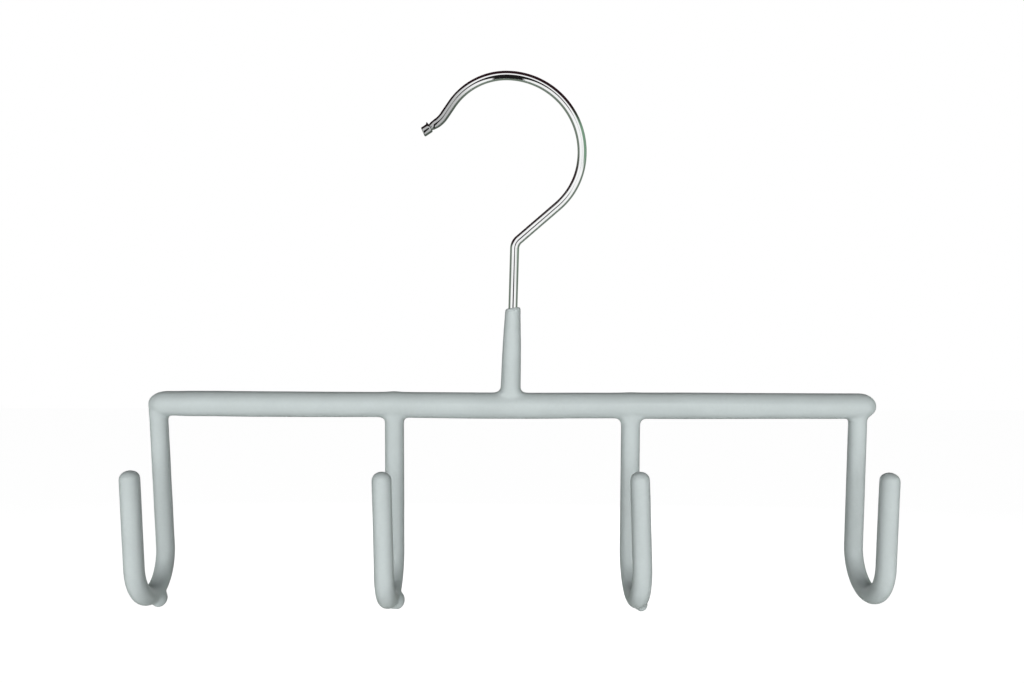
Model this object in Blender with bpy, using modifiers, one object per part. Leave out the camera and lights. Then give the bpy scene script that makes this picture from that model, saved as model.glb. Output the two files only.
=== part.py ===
"""Belt hanger: a coated steel bar with four belt hooks, hung from a rod by a chromed wire hook.

The origin is the point where the wire hook bears on the rod, straight above the middle of the bar.
X runs along the bar, the belt hooks open towards -Y, and Z is up. All sizes are in metres.
"""

import math
from typing import NamedTuple

import bmesh
import bpy
from mathutils import Matrix, Vector

MM = 0.001

# Clearance between pieces that touch on the real hanger
FIT_GAP = 0.3 * MM

# Crossbar
BAR_LENGTH = 275.0 * MM
BAR_ROD_DIAMETER = 6.0 * MM
BAR_ROD_CHAMFER = 0.4 * MM
BAR_COAT_THICKNESS = 1.9 * MM

# Belt hooks, from the bar's axis down
HOOK_COUNT = 4
FIRST_HOOK_INSET = 3.5 * MM
LAST_HOOK_INSET = 6.7 * MM
HOOK_WIRE_DIAMETER = 3.6 * MM
HOOK_BEND_RADIUS = 13.7 * MM
HOOK_DROP = 67.8 * MM
ARM_TIP_DROP = 19.8 * MM
STEM_COAT_THICKNESS = 1.75 * MM
ARM_COAT_THICKNESS = 1.85 * MM
DRIP_LENGTH_RATIO = 1.25

# Weld beads
WELD_LEG_OUT = 0.7 * MM
WELD_LEG_ALONG = 1.8 * MM
WELD_TOE_WIDTH = 0.25 * MM

# Neck sleeve on top of the bar
NECK_LENGTH = 31.7 * MM
NECK_TOP_COAT = 1.35 * MM
NECK_FOOT_COAT = 1.95 * MM
NECK_RIM_ROUNDING = 0.9 * MM
NECK_RIM_SLANT = 1.0 * MM
NECK_FOOT_FILLET = 1.7 * MM

# Chromed rod hook: one wire bent in the plane of the bar
ROD_WIRE_DIAMETER = 3.6 * MM
ROD_HOOK_OFFSET = -1.7 * MM
ROD_HOOK_LEAN = 1.4
SHANK_TOP = 59.1 * MM
ELBOW_RADIUS = 4.4 * MM
ELBOW_ANGLE = 47.7
DIAGONAL_LENGTH = 19.4 * MM
CHEEK_RADIUS = 25.6 * MM
CHEEK_ANGLE = 39.4
CROWN_RADIUS = 28.2 * MM
CROWN_ANGLE = 100.0
BROW_RADIUS = 24.7 * MM
BROW_ANGLE = 54.4
NOSE_LENGTH = 5.0 * MM
FLARE_RADIUS = 10.3 * MM
FLARE_ANGLE = 21.2
TAIL_LENGTH = 3.0 * MM
KNOB_LENGTH = 3.3 * MM
KNOB_DIAMETER = 4.2 * MM
KNOB_END_DIAMETER = 3.0 * MM
KNOB_GROOVE_DEPTH = 0.2 * MM
KNOB_GROOVE_WIDTH = 0.7 * MM

# Fineness of the solids
ROUND_SIDE_COUNT = 24
TUBE_SIDE_COUNT = 16
HIDDEN_TUBE_SIDE_COUNT = 8
BEND_STEP_ANGLE = 9.0
HOOK_BEND_STEP_ANGLE = 12.0
END_RING_COUNT = 5
LAST_END_RING_ANGLE = 85.0
EDGE_RING_COUNT = 3
DRIP_SIDE_COUNT = 12
DRIP_RING_COUNT = 8
SMOOTH_ANGLE = 45.0
MERGE_DISTANCE = 0.005 * MM


class Run(NamedTuple):
    """A straight stretch of wire."""

    length: float


class Bend(NamedTuple):
    """A bend of the wire: centreline radius, and angle in degrees, positive to the left."""

    radius: float
    angle: float


class Drip(NamedTuple):
    """A bead of coating that set under a bend: its place beside and below the wire, and its radius."""

    right: float
    down: float
    radius: float


class HookFit(NamedTuple):
    """How one hand-set belt hook strays from the pattern, and its drip; the lean is in degrees."""

    lean: float
    along: float = 0.0
    drop: float = 0.0
    tip_drop: float = 0.0
    drip: Drip | None = None


FIRST_DRIP = Drip(right=2.9 * MM, down=2.4 * MM, radius=2.4 * MM)
SECOND_DRIP = Drip(right=3.2 * MM, down=2.4 * MM, radius=2.4 * MM)
THIRD_DRIP = Drip(right=2.1 * MM, down=3.4 * MM, radius=2.0 * MM)
HOOK_FITS = (
    HookFit(lean=2.0, drop=-0.3 * MM, tip_drop=-0.3 * MM, drip=FIRST_DRIP),
    HookFit(lean=0.6, drop=0.6 * MM, drip=SECOND_DRIP),
    HookFit(lean=0.4, along=1.3 * MM, drop=0.7 * MM, tip_drop=0.1 * MM, drip=THIRD_DRIP),
    HookFit(lean=-0.8, drop=-0.8 * MM, tip_drop=0.3 * MM),
)

BAR_ROD_RADIUS = BAR_ROD_DIAMETER / 2
BAR_COAT_RADIUS = BAR_ROD_RADIUS + BAR_COAT_THICKNESS
HOOK_WIRE_RADIUS = HOOK_WIRE_DIAMETER / 2
ROD_WIRE_RADIUS = ROD_WIRE_DIAMETER / 2


def quarter_arc(radius, ring_count, last_angle=90.0):
    """Distance along the axis and radius of each ring that rounds a bar's end off towards its axis."""
    angles = [math.radians(last_angle) * (ring + 1) / ring_count for ring in range(ring_count)]
    return [(radius * math.sin(angle), radius * math.cos(angle)) for angle in angles]


def centreline(start, heading, moves, step):
    """Points of a wire that is bent in one plane, as flat vectors of (across, up)."""
    points = [Vector(start)]
    heading = math.radians(heading)
    for move in moves:
        if isinstance(move, Run):
            points.append(points[-1] + move.length * Vector((math.cos(heading), math.sin(heading))))
            continue
        turn = math.radians(move.angle)
        side = heading + math.copysign(math.pi / 2, turn)
        centre = points[-1] + move.radius * Vector((math.cos(side), math.sin(side)))
        spoke = points[-1] - centre
        count = max(2, math.ceil(abs(move.angle) / step))
        for index in range(count):
            points.append(centre + Matrix.Rotation(turn * (index + 1) / count, 2) @ spoke)
        heading += turn
    return points


def rod_hook_line():
    """Centreline of the rod hook in its own plane, from its foot on the rod to the knob."""
    foot = BAR_ROD_RADIUS + FIT_GAP
    moves = (
        Run(SHANK_TOP - foot),
        Bend(ELBOW_RADIUS, -ELBOW_ANGLE),
        Run(DIAGONAL_LENGTH),
        Bend(CHEEK_RADIUS, CHEEK_ANGLE),
        Bend(CROWN_RADIUS, CROWN_ANGLE),
        Bend(BROW_RADIUS, BROW_ANGLE),
        Run(NOSE_LENGTH),
        Bend(FLARE_RADIUS, -FLARE_ANGLE),
        Run(TAIL_LENGTH),
    )
    return centreline((0.0, foot), 90.0, moves, BEND_STEP_ANGLE)


def hang_height():
    """Height of the wire's inner face over the bar's axis, straight above the bar's middle."""
    lean = Matrix.Rotation(-math.radians(ROD_HOOK_LEAN), 2)
    points = [lean @ point + Vector((ROD_HOOK_OFFSET, 0.0)) for point in rod_hook_line()]
    heights = []
    for first, second in zip(points, points[1:]):
        if (first.x > 0.0) != (second.x > 0.0):
            share = first.x / (first.x - second.x)
            slope = math.hypot(second.x - first.x, second.y - first.y) / abs(second.x - first.x)
            heights.append(first.y + share * (second.y - first.y) - ROD_WIRE_RADIUS * slope)
    return max(heights)


def make_material(name, colour, roughness, metallic):
    """A Principled material."""
    material = bpy.data.materials.new(name)
    material.use_nodes = True
    shader = material.node_tree.nodes["Principled BSDF"]
    shader.inputs["Base Color"].default_value = (*colour, 1.0)
    shader.inputs["Roughness"].default_value = roughness
    shader.inputs["Metallic"].default_value = metallic
    material.diffuse_color = (*colour, 1.0)
    return material


def add_object(name, data, collection, parent, material=None):
    """Put new data in a collection, in its parent's frame."""
    obj = bpy.data.objects.new(name, data)
    collection.objects.link(obj)
    obj.parent = parent
    if material is not None:
        data.materials.append(material)
    return obj


def hide_cutter(cutter):
    """Show a cutter as a wire outline and keep it out of the render."""
    cutter.hide_render = True
    cutter.display_type = "WIRE"
    return cutter


def apply_boolean(target, operation, cutter):
    """Add a live Boolean to a solid."""
    modifier = target.modifiers.new(cutter.name, "BOOLEAN")
    modifier.operation = operation
    modifier.solver = "EXACT"
    modifier.object = cutter


def round_bar(name, radii, bottom, top, collection, parent, material=None):
    """A closed upright cylinder or cone between two heights; radii are at bottom and top."""
    mesh = bpy.data.meshes.new(name)
    shape = bmesh.new()
    bmesh.ops.create_cone(
        shape,
        cap_ends=True,
        segments=ROUND_SIDE_COUNT,
        radius1=radii[0],
        radius2=radii[1],
        depth=top - bottom,
    )
    bmesh.ops.translate(shape, verts=shape.verts, vec=(0.0, 0.0, (top + bottom) / 2))
    shape.to_mesh(mesh)
    shape.free()
    mesh.shade_smooth()
    mesh.set_sharp_from_angle(angle=math.radians(SMOOTH_ANGLE))
    return add_object(name, mesh, collection, parent, material)


def capsule(name, length, radius, collection, parent, material=None):
    """A bar with half ball ends, turned round its own axis and laid along X."""
    straight = length / 2 - radius
    arc = [(0.0, radius)] + quarter_arc(radius, END_RING_COUNT)
    upper = [(across, straight + along) for along, across in reversed(arc)]
    lower = [(across, -along) for across, along in reversed(upper)]
    profile = [(across, 0.0, along) for across, along in upper + lower]
    mesh = bpy.data.meshes.new(name)
    mesh.from_pydata(profile, [(i, i + 1) for i in range(len(profile) - 1)], [])
    obj = add_object(name, mesh, collection, parent, material)
    obj.rotation_euler = (0.0, math.radians(90.0), 0.0)
    screw = obj.modifiers.new("turn", "SCREW")
    screw.steps = ROUND_SIDE_COUNT
    screw.render_steps = ROUND_SIDE_COUNT
    screw.use_merge_vertices = True
    screw.merge_threshold = MERGE_DISTANCE
    screw.use_smooth_shade = True
    return obj


def tube(name, points, radii, side_count, collection, parent, material=None):
    """A round wire along points, with a radius for each point, as a capped curve."""
    curve = bpy.data.curves.new(name, "CURVE")
    curve.dimensions = "3D"
    curve.bevel_depth = radii[0]
    curve.bevel_resolution = side_count // 2 - 2
    curve.use_fill_caps = True
    spline = curve.splines.new("POLY")
    spline.points.add(len(points) - 1)
    for spot, point, radius in zip(spline.points, points, radii):
        spot.co = (*point, 1.0)
        spot.radius = radius / radii[0]
    return add_object(name, curve, collection, parent, material)


def solid_tube(name, points, radii, side_count, collection, parent, material=None):
    """The same tube as one closed mesh, which can be cut."""
    wire = tube(name + "_curve", points, radii, side_count, collection, parent, material)
    bpy.context.view_layer.update()
    mesh = bpy.data.meshes.new_from_object(wire.evaluated_get(bpy.context.evaluated_depsgraph_get()))
    shape = bmesh.new()
    shape.from_mesh(mesh)
    bmesh.ops.remove_doubles(shape, verts=shape.verts, dist=MERGE_DISTANCE)
    shape.to_mesh(mesh)
    shape.free()
    mesh.name = name
    mesh.shade_smooth()
    solid = bpy.data.objects.new(name, mesh)
    collection.objects.link(solid)
    solid.parent = parent
    solid.matrix_world = wire.matrix_world
    bpy.data.objects.remove(wire)
    return solid


def loft(name, sections, collection, parent, material=None):
    """A closed upright solid through oval rings: height, half widths along X and Y, and rise per X."""
    mesh = bpy.data.meshes.new(name)
    shape = bmesh.new()
    rings = []
    for height, half_x, half_y, rise in sections:
        ring = []
        for index in range(ROUND_SIDE_COUNT):
            angle = 2 * math.pi * index / ROUND_SIDE_COUNT
            x, y = half_x * math.cos(angle), half_y * math.sin(angle)
            ring.append(shape.verts.new((x, y, height + rise * x)))
        rings.append(ring)
    for lower, upper in zip(rings, rings[1:]):
        for index in range(ROUND_SIDE_COUNT):
            after = (index + 1) % ROUND_SIDE_COUNT
            shape.faces.new((lower[index], lower[after], upper[after], upper[index]))
    shape.faces.new(list(reversed(rings[0])))
    shape.faces.new(rings[-1])
    shape.to_mesh(mesh)
    shape.free()
    mesh.shade_smooth()
    mesh.set_sharp_from_angle(angle=math.radians(SMOOTH_ANGLE))
    return add_object(name, mesh, collection, parent, material)


def weld_bead(name, wire_radius, side, shelf, parent):
    """The ring of weld round a wire's foot; side is 1 on top of the rod and -1 below it."""
    inner = wire_radius + FIT_GAP
    end = BAR_ROD_RADIUS + FIT_GAP + WELD_LEG_ALONG
    wide, narrow = inner + WELD_LEG_OUT, inner + WELD_TOE_WIDTH
    radii = (wide, narrow) if side > 0 else (narrow, wide)
    low, high = sorted((0.0, side * end))
    bead = round_bar(name, radii, low, high, shelf.parts, parent, shelf.weld)
    past = end + BAR_ROD_RADIUS
    bore = round_bar(name + "_bore", (inner, inner), -past, past, shelf.cutters, parent)
    apply_boolean(bead, "DIFFERENCE", hide_cutter(bore))
    apply_boolean(bead, "DIFFERENCE", shelf.rod_clearance)
    return bead


def weld_pocket(name, wire_radius, side, reach, shelf, parent):
    """Cutter for the room round a weld bead, from just past the bar's axis to a given reach."""
    radius = wire_radius + FIT_GAP + WELD_LEG_OUT + FIT_GAP
    low, high = sorted((-side * FIT_GAP, side * reach))
    return hide_cutter(round_bar(name, (radius, radius), low, high, shelf.cutters, parent))


class Shelf:
    """What the builders share: collections, materials, the bar's frame and its cutters."""

    def __init__(self, parts, cutters):
        self.parts = parts
        self.cutters = cutters
        self.coating = make_material("grey_coating", (0.58, 0.64, 0.62), 0.5, 0.0)
        self.chrome = make_material("chrome", (0.83, 0.84, 0.84), 0.08, 1.0)
        self.steel = make_material("bare_steel", (0.42, 0.43, 0.44), 0.35, 1.0)
        self.weld = make_material("weld", (0.26, 0.25, 0.25), 0.55, 1.0)
        self.bar_axis = add_object("bar_axis", None, parts, None)
        self.bar_axis.location = (0.0, 0.0, -hang_height())
        self.rod_length = BAR_LENGTH - 2 * BAR_COAT_THICKNESS
        self.rod_clearance = self.laid_cylinder("rod_clearance", FIT_GAP)
        self.bar_clearance = hide_cutter(
            capsule(
                "bar_clearance",
                BAR_LENGTH + 2 * FIT_GAP,
                BAR_COAT_RADIUS + FIT_GAP,
                cutters,
                self.bar_axis,
            )
        )

    def laid_cylinder(self, name, margin):
        """A cutter of the rod's shape, larger all round by a margin."""
        radius = BAR_ROD_RADIUS + margin
        half = self.rod_length / 2 + margin
        cutter = round_bar(name, (radius, radius), -half, half, self.cutters, self.bar_axis)
        cutter.rotation_euler = (0.0, math.radians(90.0), 0.0)
        return hide_cutter(cutter)


def make_bar(shelf):
    """The steel rod, and its coating with half ball ends."""
    half = shelf.rod_length / 2
    radii = (BAR_ROD_RADIUS, BAR_ROD_RADIUS)
    rod = round_bar("crossbar_rod", radii, -half, half, shelf.parts, shelf.bar_axis, shelf.steel)
    rod.rotation_euler = (0.0, math.radians(90.0), 0.0)
    chamfer = rod.modifiers.new("chamfer", "BEVEL")
    chamfer.width = BAR_ROD_CHAMFER
    chamfer.limit_method = "ANGLE"
    coating = capsule(
        "crossbar_coating", BAR_LENGTH, BAR_COAT_RADIUS, shelf.parts, shelf.bar_axis, shelf.coating
    )
    apply_boolean(coating, "DIFFERENCE", shelf.rod_clearance)
    return coating


def hook_place(index):
    """Where a belt hook's stem crosses the bar's axis, along X."""
    first = -BAR_LENGTH / 2 + FIRST_HOOK_INSET
    last = BAR_LENGTH / 2 - LAST_HOOK_INSET
    return first + (last - first) * index / max(1, HOOK_COUNT - 1)


def hook_line(fit, top, arm_trim):
    """Centreline of a belt hook in its own plane: down the stem, round the bend and up the arm."""
    straight = HOOK_DROP + fit.drop - HOOK_BEND_RADIUS
    arm = straight - ARM_TIP_DROP - fit.tip_drop - arm_trim
    moves = (Run(straight + top), Bend(HOOK_BEND_RADIUS, 180.0), Run(arm))
    flat = centreline((0.0, top), -90.0, moves, HOOK_BEND_STEP_ANGLE)
    return [Vector((0.0, -point.x, point.y)) for point in flat]


def add_drip(coating, fit, shelf, parent):
    """The bead of coating that set under a belt hook's bend."""
    mesh = bpy.data.meshes.new(coating.name + "_drip")
    shape = bmesh.new()
    bmesh.ops.create_uvsphere(
        shape, u_segments=DRIP_SIDE_COUNT, v_segments=DRIP_RING_COUNT, radius=fit.drip.radius
    )
    bmesh.ops.scale(shape, verts=shape.verts, vec=(1.0, DRIP_LENGTH_RATIO, 1.0))
    shape.to_mesh(mesh)
    shape.free()
    drip = hide_cutter(add_object(mesh.name, mesh, shelf.cutters, parent))
    low = -HOOK_DROP - fit.drop - fit.drip.down
    drip.location = (fit.drip.right, -HOOK_BEND_RADIUS, low)
    apply_boolean(coating, "UNION", drip)


def make_belt_hook(index, bar_coating, shelf):
    """One belt hook: bent wire, its weld bead and its coating."""
    fit = HOOK_FITS[index % len(HOOK_FITS)]
    name = f"belt_hook_{index + 1}"
    seat = add_object(name + "_seat", None, shelf.parts, shelf.bar_axis)
    seat.location = (hook_place(index) + fit.along, 0.0, 0.0)
    seat.rotation_euler = (0.0, -math.radians(fit.lean), 0.0)

    stem_radius = HOOK_WIRE_RADIUS + STEM_COAT_THICKNESS
    arm_radius = HOOK_WIRE_RADIUS + ARM_COAT_THICKNESS
    wire_line = hook_line(fit, -BAR_ROD_RADIUS - FIT_GAP, ARM_COAT_THICKNESS)
    wire_radii = [HOOK_WIRE_RADIUS] * len(wire_line)
    tube(name + "_wire", wire_line, wire_radii, HIDDEN_TUBE_SIDE_COUNT, shelf.parts, seat, shelf.steel)
    weld_bead(name + "_weld", HOOK_WIRE_RADIUS, -1, shelf, seat)

    line = hook_line(fit, 0.0, arm_radius)
    bend = range(1, len(line) - 1)
    radii = [stem_radius]
    for step in bend:
        radii.append(stem_radius + (arm_radius - stem_radius) * (step - 1) / (len(bend) - 1))
    radii.append(arm_radius)
    arm_end = line[-1].copy()
    for rise, radius in quarter_arc(arm_radius, END_RING_COUNT, LAST_END_RING_ANGLE):
        line.append(arm_end + Vector((0.0, 0.0, rise)))
        radii.append(radius)
    coating = solid_tube(
        name + "_coating", line, radii, TUBE_SIDE_COUNT, shelf.parts, seat, shelf.coating
    )
    if fit.drip is not None:
        add_drip(coating, fit, shelf, seat)

    bore_line = hook_line(fit, BAR_COAT_RADIUS, ARM_COAT_THICKNESS - FIT_GAP)
    bore_radii = [HOOK_WIRE_RADIUS + FIT_GAP] * len(bore_line)
    bore = solid_tube(
        name + "_bore", bore_line, bore_radii, HIDDEN_TUBE_SIDE_COUNT, shelf.cutters, seat
    )
    weld_reach = BAR_ROD_RADIUS + FIT_GAP + WELD_LEG_ALONG + FIT_GAP
    pocket = weld_pocket(name + "_pocket", HOOK_WIRE_RADIUS, -1, weld_reach, shelf, seat)
    apply_boolean(coating, "DIFFERENCE", hide_cutter(bore))
    apply_boolean(coating, "DIFFERENCE", shelf.bar_clearance)
    apply_boolean(coating, "DIFFERENCE", pocket)
    through = 2 * BAR_COAT_RADIUS
    hole = weld_pocket(name + "_hole", HOOK_WIRE_RADIUS, -1, through, shelf, seat)
    apply_boolean(bar_coating, "DIFFERENCE", hole)


def knob_rings():
    """Distance past the tail and radius of each ring of the knob, from its groove to its end face."""
    groove_radius = ROD_WIRE_RADIUS - KNOB_GROOVE_DEPTH
    rings = [
        (KNOB_GROOVE_WIDTH / 3, groove_radius),
        (KNOB_GROOVE_WIDTH * 2 / 3, groove_radius),
        (KNOB_GROOVE_WIDTH, KNOB_DIAMETER / 2),
    ]
    rounding = (KNOB_DIAMETER - KNOB_END_DIAMETER) / 2
    for reach, inset in [(0.0, rounding)] + quarter_arc(rounding, EDGE_RING_COUNT):
        rings.append((KNOB_LENGTH - rounding + reach, KNOB_END_DIAMETER / 2 + inset))
    return rings


def neck_sections():
    """Oval rings of the neck sleeve, from the bar's axis to its rim."""
    foot_height = BAR_COAT_RADIUS
    top = foot_height + NECK_LENGTH
    foot_radius = ROD_WIRE_RADIUS + NECK_FOOT_COAT
    top_radius = ROD_WIRE_RADIUS + NECK_TOP_COAT
    foot_edge = foot_radius + NECK_FOOT_FILLET
    sections = [(0.0, foot_edge, foot_radius, 0.0), (foot_height, foot_edge, foot_radius, 0.0)]
    for inset, remainder in quarter_arc(NECK_FOOT_FILLET, END_RING_COUNT):
        height = foot_height + NECK_FOOT_FILLET - remainder
        sections.append((height, foot_edge - inset, foot_radius, 0.0))
    rise = NECK_RIM_SLANT / (2 * top_radius)
    shoulder_radius = top_radius - NECK_RIM_ROUNDING
    for reach, inset in [(0.0, NECK_RIM_ROUNDING)] + quarter_arc(NECK_RIM_ROUNDING, EDGE_RING_COUNT):
        radius = shoulder_radius + inset
        sections.append((top - NECK_RIM_ROUNDING + reach, radius, radius, rise))
    return sections


def make_rod_hook(bar_coating, shelf):
    """The chromed wire hook, its weld bead and the neck sleeve round its foot."""
    seat = add_object("rod_hook_seat", None, shelf.parts, shelf.bar_axis)
    seat.location = (ROD_HOOK_OFFSET, 0.0, 0.0)
    seat.rotation_euler = (0.0, math.radians(ROD_HOOK_LEAN), 0.0)

    line = rod_hook_line()
    radii = [ROD_WIRE_RADIUS] * len(line)
    tail = line[-1].copy()
    ahead = (line[-1] - line[-2]).normalized()
    for reach, radius in knob_rings():
        line.append(tail + reach * ahead)
        radii.append(radius)
    points = [Vector((point.x, 0.0, point.y)) for point in line]
    tube("rod_hook", points, radii, TUBE_SIDE_COUNT, shelf.parts, seat, shelf.chrome)
    weld_bead("rod_hook_weld", ROD_WIRE_RADIUS, 1, shelf, seat)

    sleeve = loft("neck_coating", neck_sections(), shelf.parts, seat, shelf.coating)
    bore_radius = ROD_WIRE_RADIUS + FIT_GAP
    past = BAR_COAT_RADIUS + 2 * NECK_LENGTH
    bore = round_bar("neck_bore", (bore_radius, bore_radius), -past, past, shelf.cutters, seat)
    weld_reach = BAR_ROD_RADIUS + FIT_GAP + WELD_LEG_ALONG + FIT_GAP
    pocket = weld_pocket("neck_pocket", ROD_WIRE_RADIUS, 1, weld_reach, shelf, seat)
    apply_boolean(sleeve, "DIFFERENCE", hide_cutter(bore))
    apply_boolean(sleeve, "DIFFERENCE", shelf.bar_clearance)
    apply_boolean(sleeve, "DIFFERENCE", pocket)
    hole = weld_pocket("neck_hole", ROD_WIRE_RADIUS, 1, 2 * BAR_COAT_RADIUS, shelf, seat)
    apply_boolean(bar_coating, "DIFFERENCE", hole)


def main():
    """Build the whole hanger in an emptied scene."""
    for obj in list(bpy.data.objects):
        bpy.data.objects.remove(obj, do_unlink=True)
    parts = bpy.data.collections.new("belt_hanger")
    cutters = bpy.data.collections.new("cutters")
    bpy.context.scene.collection.children.link(parts)
    bpy.context.scene.collection.children.link(cutters)
    shelf = Shelf(parts, cutters)
    bar_coating = make_bar(shelf)
    for index in range(HOOK_COUNT):
        make_belt_hook(index, bar_coating, shelf)
    make_rod_hook(bar_coating, shelf)


main()
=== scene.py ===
"""Looks of a belt hanger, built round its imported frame.

One dipped coating covers the crossbar, the neck and the four belt hooks. A plated wire hook stands in
the neck, and the steel frame and its weld beads lie inside the coating. Sizes are in metres.
"""

import math
from typing import NamedTuple

import bmesh
import bpy
from bpy.props import FloatProperty, FloatVectorProperty, IntProperty, PointerProperty
from mathutils import Matrix, Vector


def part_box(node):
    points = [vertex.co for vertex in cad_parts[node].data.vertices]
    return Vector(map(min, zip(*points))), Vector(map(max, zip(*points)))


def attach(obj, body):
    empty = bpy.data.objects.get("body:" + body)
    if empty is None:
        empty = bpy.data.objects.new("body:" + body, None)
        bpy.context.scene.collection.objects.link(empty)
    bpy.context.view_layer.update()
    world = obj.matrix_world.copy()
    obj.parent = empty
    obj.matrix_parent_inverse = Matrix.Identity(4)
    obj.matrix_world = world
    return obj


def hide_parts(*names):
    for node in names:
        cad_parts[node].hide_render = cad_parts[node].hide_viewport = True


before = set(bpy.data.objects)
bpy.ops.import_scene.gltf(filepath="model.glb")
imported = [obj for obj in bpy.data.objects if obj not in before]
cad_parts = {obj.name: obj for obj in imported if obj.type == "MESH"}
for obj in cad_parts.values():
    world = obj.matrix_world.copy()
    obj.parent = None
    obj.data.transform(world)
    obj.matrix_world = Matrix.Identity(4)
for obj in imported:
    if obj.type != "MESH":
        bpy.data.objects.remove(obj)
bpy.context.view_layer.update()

bl_info = {
    "name": "Belt hanger",
    "version": (1, 0, 0),
    "blender": (4, 5, 0),
    "location": "View3D > Sidebar > Hanger",
    "description": "Models the coating and the rod hook of a belt hanger and finishes its steel",
    "category": "Object",
}

MM = 0.001
BODY = "root"
RIGHT = Vector((1.0, 0.0, 0.0))
BACK = Vector((0.0, 1.0, 0.0))
UP = Vector((0.0, 0.0, 1.0))

# Points closer than this are one point
MERGE_GAP = 0.001 * MM
# A rounded end stops just before its pole, where a small flat face closes it
POLE_ANGLE = math.radians(88.0)

# Where things are in the frame
BAR_LOW, BAR_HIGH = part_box("crossbar_coating")
BAR_AXIS_HEIGHT = (BAR_LOW.z + BAR_HIGH.z) / 2
BAR_RADIUS = (BAR_HIGH.y - BAR_LOW.y) / 2
COATED_NODES = ["crossbar_coating", "neck_coating"] + [f"belt_hook_{n}_coating" for n in (1, 2, 3, 4)]
ROD_NODES = ["crossbar_rod"] + [f"belt_hook_{n}_wire" for n in (1, 2, 3, 4)]
WELD_NODES = ["rod_hook_weld"] + [f"belt_hook_{n}_weld" for n in (1, 2, 3, 4)]

# The neck and the rod hook lean a little, and stand a little left of the bar's middle
NECK_SEAT = Vector((-1.7 * MM, 0.0, BAR_AXIS_HEIGHT))
NECK_LEAN = math.radians(1.4)


class Drip(NamedTuple):
    """A bead of coating set under a bend: where its middle lies from the wire's, and its half sizes."""

    right: float
    down: float
    back: float
    half_sizes: tuple[float, float, float]


class HookFit(NamedTuple):
    """How one belt hook differs from the others; angles are in degrees."""

    place: float
    lean: float
    bend_turn: float
    arm_lean: float
    drop: float
    tip_drop: float
    thinning: float
    root_flare: float
    drips: tuple[Drip, ...] = ()


HOOK_FITS = (
    HookFit(
        place=-134.0 * MM,
        lean=2.0,
        bend_turn=0.2,
        arm_lean=-0.2,
        drop=-0.3 * MM,
        tip_drop=-0.39 * MM,
        thinning=0.3 * MM,
        root_flare=0.1 * MM,
        drips=(Drip(1.6 * MM, 2.3 * MM, 2.0 * MM, (2.9 * MM, 3.4 * MM, 3.3 * MM)),),
    ),
    HookFit(
        place=-45.41 * MM,
        lean=0.1,
        bend_turn=-0.92,
        arm_lean=1.18,
        drop=0.75 * MM,
        tip_drop=-0.05 * MM,
        thinning=0.0,
        root_flare=1.0 * MM,
        drips=(
            Drip(2.25 * MM, 2.05 * MM, 2.0 * MM, (2.85 * MM, 3.4 * MM, 3.3 * MM)),
            Drip(0.4 * MM, 1.95 * MM, 2.0 * MM, (2.4 * MM, 3.4 * MM, 3.25 * MM)),
        ),
    ),
    HookFit(
        place=44.03 * MM,
        lean=0.0,
        bend_turn=0.82,
        arm_lean=2.2,
        drop=0.85 * MM,
        tip_drop=-0.16 * MM,
        thinning=0.0,
        root_flare=2.2 * MM,
        drips=(Drip(2.2 * MM, 2.5 * MM, -1.0 * MM, (2.5 * MM, 2.9 * MM, 2.6 * MM)),),
    ),
    HookFit(
        place=130.8 * MM,
        lean=-0.5,
        bend_turn=-0.52,
        arm_lean=-0.56,
        drop=-0.55 * MM,
        tip_drop=0.11 * MM,
        thinning=0.22 * MM,
        root_flare=0.1 * MM,
    ),
)

# The wide bend that sets an arm aslant of its stem
ARM_SET_RADIUS = 60.0 * MM

# Sides round each tube of the coating
BAR_SIDES = 48
HOOK_SIDES = 32
NECK_SIDES = 40

# Rings in a rounded end of the bar and in an arm's tip
END_RINGS = 10
TIP_RINGS = 8

# A belt hook's bend is drawn in parts, each a little thinner, and a bend has a ring every few degrees
BEND_PARTS = 6
HOOK_BEND_STEP = 6.0
ARM_SET_STEP = 1.0
WIRE_BEND_STEP = 1.5

# The bar's coating sags and thickens a little: place along the bar, half height, rise of the middle
BAR_RINGS = (
    (-127.2 * MM, 4.64 * MM, 0.43 * MM),
    (-123.5 * MM, 4.76 * MM, 0.37 * MM),
    (-112.3 * MM, 4.79 * MM, 0.36 * MM),
    (-97.4 * MM, 4.83 * MM, 0.23 * MM),
    (-75.0 * MM, 4.81 * MM, 0.16 * MM),
    (-52.6 * MM, 4.75 * MM, 0.16 * MM),
    (-49.0 * MM, 4.82 * MM, 0.14 * MM),
    (-45.4 * MM, 4.97 * MM, 0.23 * MM),
    (-41.8 * MM, 4.88 * MM, 0.06 * MM),
    (-37.6 * MM, 4.9 * MM, 0.0),
    (-26.3 * MM, 4.94 * MM, -0.08 * MM),
    (-11.3 * MM, 4.96 * MM, -0.17 * MM),
    (7.6 * MM, 4.94 * MM, -0.2 * MM),
    (22.7 * MM, 4.9 * MM, -0.08 * MM),
    (35.9 * MM, 4.88 * MM, -0.05 * MM),
    (40.5 * MM, 4.93 * MM, -0.04 * MM),
    (44.0 * MM, 5.02 * MM, 0.02 * MM),
    (48.0 * MM, 4.99 * MM, -0.07 * MM),
    (64.3 * MM, 5.04 * MM, -0.07 * MM),
    (87.0 * MM, 4.95 * MM, -0.08 * MM),
    (110.0 * MM, 4.89 * MM, -0.07 * MM),
    (121.3 * MM, 4.88 * MM, -0.08 * MM),
)

# The neck's half width at heights over the bar's axis
NECK_RINGS = (
    (6.6 * MM, 3.78 * MM),
    (9.5 * MM, 3.73 * MM),
    (17.1 * MM, 3.58 * MM),
    (24.7 * MM, 3.4 * MM),
    (28.0 * MM, 3.21 * MM),
    (31.0 * MM, 3.09 * MM),
    (34.0 * MM, 2.94 * MM),
)

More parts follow.
